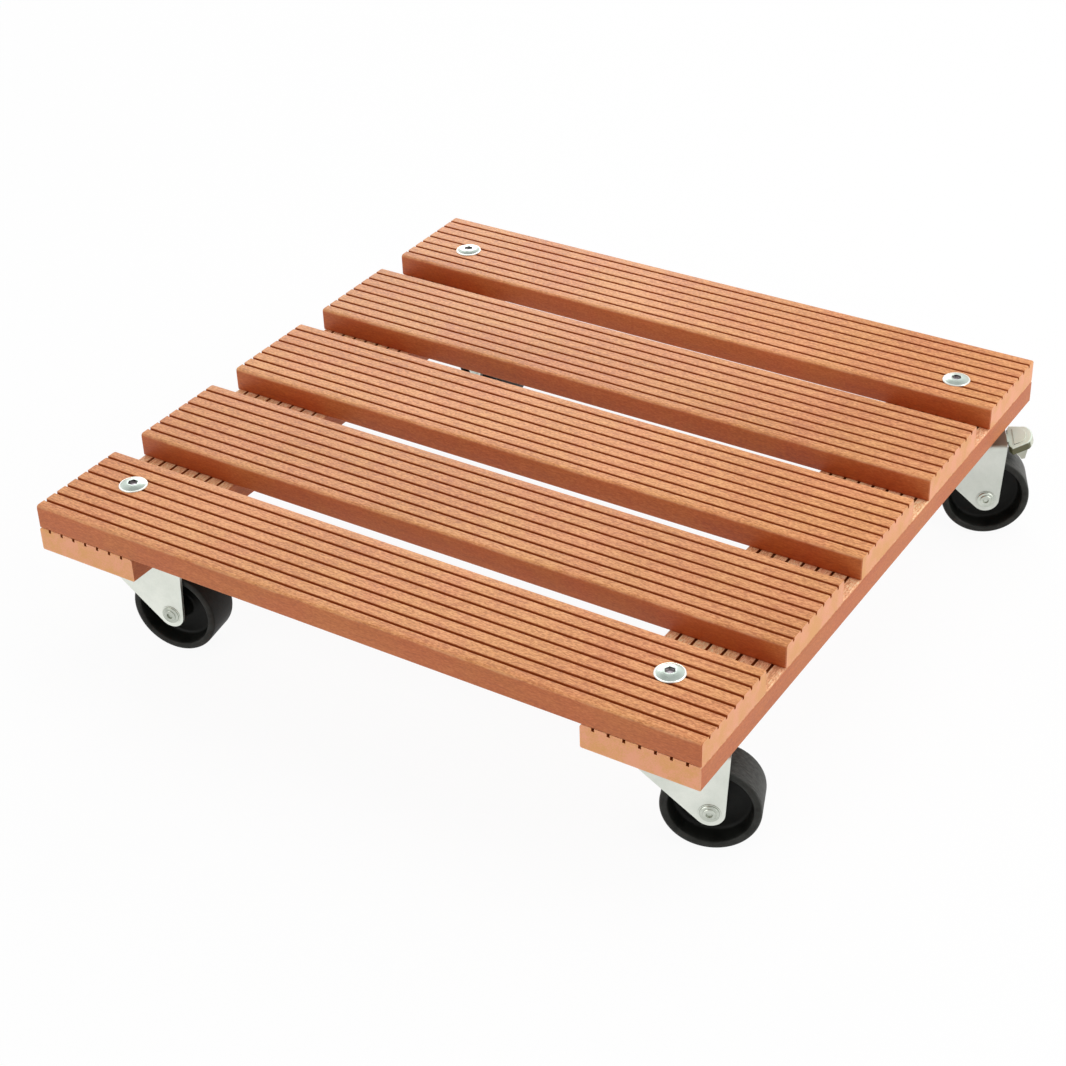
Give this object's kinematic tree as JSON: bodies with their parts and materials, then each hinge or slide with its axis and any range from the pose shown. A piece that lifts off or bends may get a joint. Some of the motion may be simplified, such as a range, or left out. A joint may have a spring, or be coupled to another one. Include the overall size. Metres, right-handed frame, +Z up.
{
  "type": "plant dolly",
  "caption": "Square plant dolly: grooved composite slats on two battens, rolling on swivel casters with foot brakes, to carry and move a heavy pot.",
  "frame": {"origin": "on the floor, under the middle of the deck", "axes": "+X along the slats to the right, +Y from front to back, +Z up"},
  "size_m": [0.416, 0.4024, 0.098],
  "materials": {
    "deck_composite": "extruded wood-plastic composite, terracotta, finely brushed",
    "zinc_steel": "bright zinc-plated pressed steel",
    "bearing_steel": "ground steel, lightly oiled",
    "spring_steel": "dark tempered spring steel",
    "wheel_plastic": "black moulded polypropylene, satin",
    "washer_nylon": "natural nylon"
  },
  "bodies": {
    "deck": {"front_slat": "deck_composite", "front_inner_slat": "deck_composite", "middle_slat": "deck_composite", "back_inner_slat": "deck_composite", "back_slat": "deck_composite", "left_batten": "deck_composite", "right_batten": "deck_composite", "slat_screws": "zinc_steel", "caster_bolts": "zinc_steel", "lock_nuts": "zinc_steel", "front_left_cup": "zinc_steel", "front_left_kingpin": "zinc_steel", "front_left_thrust_washer": "washer_nylon", "front_right_cup": "zinc_steel", "front_right_kingpin": "zinc_steel", "front_right_thrust_washer": "washer_nylon", "back_left_cup": "zinc_steel", "back_left_kingpin": "zinc_steel", "back_left_thrust_washer": "washer_nylon", "back_right_cup": "zinc_steel", "back_right_kingpin": "zinc_steel", "back_right_thrust_washer": "washer_nylon"},
    "front_left_fork": {"front_left_fork": "zinc_steel", "front_left_bearing_balls": "bearing_steel", "front_left_axle_rivet": "zinc_steel", "front_left_axle_bush": "bearing_steel"},
    "front_left_wheel": {"front_left_wheel": "wheel_plastic"},
    "front_right_fork": {"front_right_fork": "zinc_steel", "front_right_bearing_balls": "bearing_steel", "front_right_axle_rivet": "zinc_steel", "front_right_axle_bush": "bearing_steel"},
    "front_right_wheel": {"front_right_wheel": "wheel_plastic"},
    "back_left_fork": {"back_left_fork": "zinc_steel", "back_left_bearing_balls": "bearing_steel", "back_left_axle_rivet": "zinc_steel", "back_left_axle_bush": "bearing_steel", "back_left_brake_pin": "bearing_steel", "back_left_brake_spring": "spring_steel"},
    "back_left_wheel": {"back_left_wheel": "wheel_plastic"},
    "back_left_pedal": {"back_left_brake_pedal": "zinc_steel"},
    "back_right_fork": {"back_right_fork": "zinc_steel", "back_right_bearing_balls": "bearing_steel", "back_right_axle_rivet": "zinc_steel", "back_right_axle_bush": "bearing_steel", "back_right_brake_pin": "bearing_steel", "back_right_brake_spring": "spring_steel"},
    "back_right_wheel": {"back_right_wheel": "wheel_plastic"},
    "back_right_pedal": {"back_right_brake_pedal": "zinc_steel"}
  },
  "joints": [
    {"name": "front_left_swivel", "type": "hinge", "parent": "deck", "child": "front_left_fork", "pos_m": [-0.168, -0.1597, 0.0599], "axis": [0, 0, 1], "continuous": true},
    {"name": "front_left_roll", "type": "hinge", "parent": "front_left_fork", "child": "front_left_wheel", "pos_m": [-0.14702, -0.15604, 0.025], "axis": [-0.1719, 0.9851, 0], "continuous": true},
    {"name": "front_right_swivel", "type": "hinge", "parent": "deck", "child": "front_right_fork", "pos_m": [0.1622, -0.1622, 0.0599], "axis": [0, 0, 1], "continuous": true},
    {"name": "front_right_roll", "type": "hinge", "parent": "front_right_fork", "child": "front_right_wheel", "pos_m": [0.18206, -0.1545, 0.025], "axis": [-0.3616, 0.9323, 0], "continuous": true},
    {"name": "back_left_swivel", "type": "hinge", "parent": "deck", "child": "back_left_fork", "pos_m": [-0.1656, 0.1635, 0.0599], "axis": [0, 0, 1], "continuous": true},
    {"name": "back_left_roll", "type": "hinge", "parent": "back_left_fork", "child": "back_left_wheel", "pos_m": [-0.14599, 0.15518, 0.025], "axis": [0.3907, 0.9205, 0], "continuous": true},
    {"name": "back_left_brake", "type": "hinge", "parent": "back_left_fork", "child": "back_left_pedal", "pos_m": [-0.1424, 0.15365, 0.055], "axis": [0.3907, 0.9205, 0], "range_deg": [0, 16.5]},
    {"name": "back_right_swivel", "type": "hinge", "parent": "deck", "child": "back_right_fork", "pos_m": [0.1702, 0.1583, 0.0599], "axis": [0, 0, 1], "continuous": true},
    {"name": "back_right_roll", "type": "hinge", "parent": "back_right_fork", "child": "back_right_wheel", "pos_m": [0.18925, 0.16784, 0.025], "axis": [-0.4478, 0.8942, 0], "continuous": true},
    {"name": "back_right_brake", "type": "hinge", "parent": "back_right_fork", "child": "back_right_pedal", "pos_m": [0.19273, 0.16958, 0.055], "axis": [-0.4478, 0.8942, 0], "range_deg": [0, 16.5]}
  ]
}
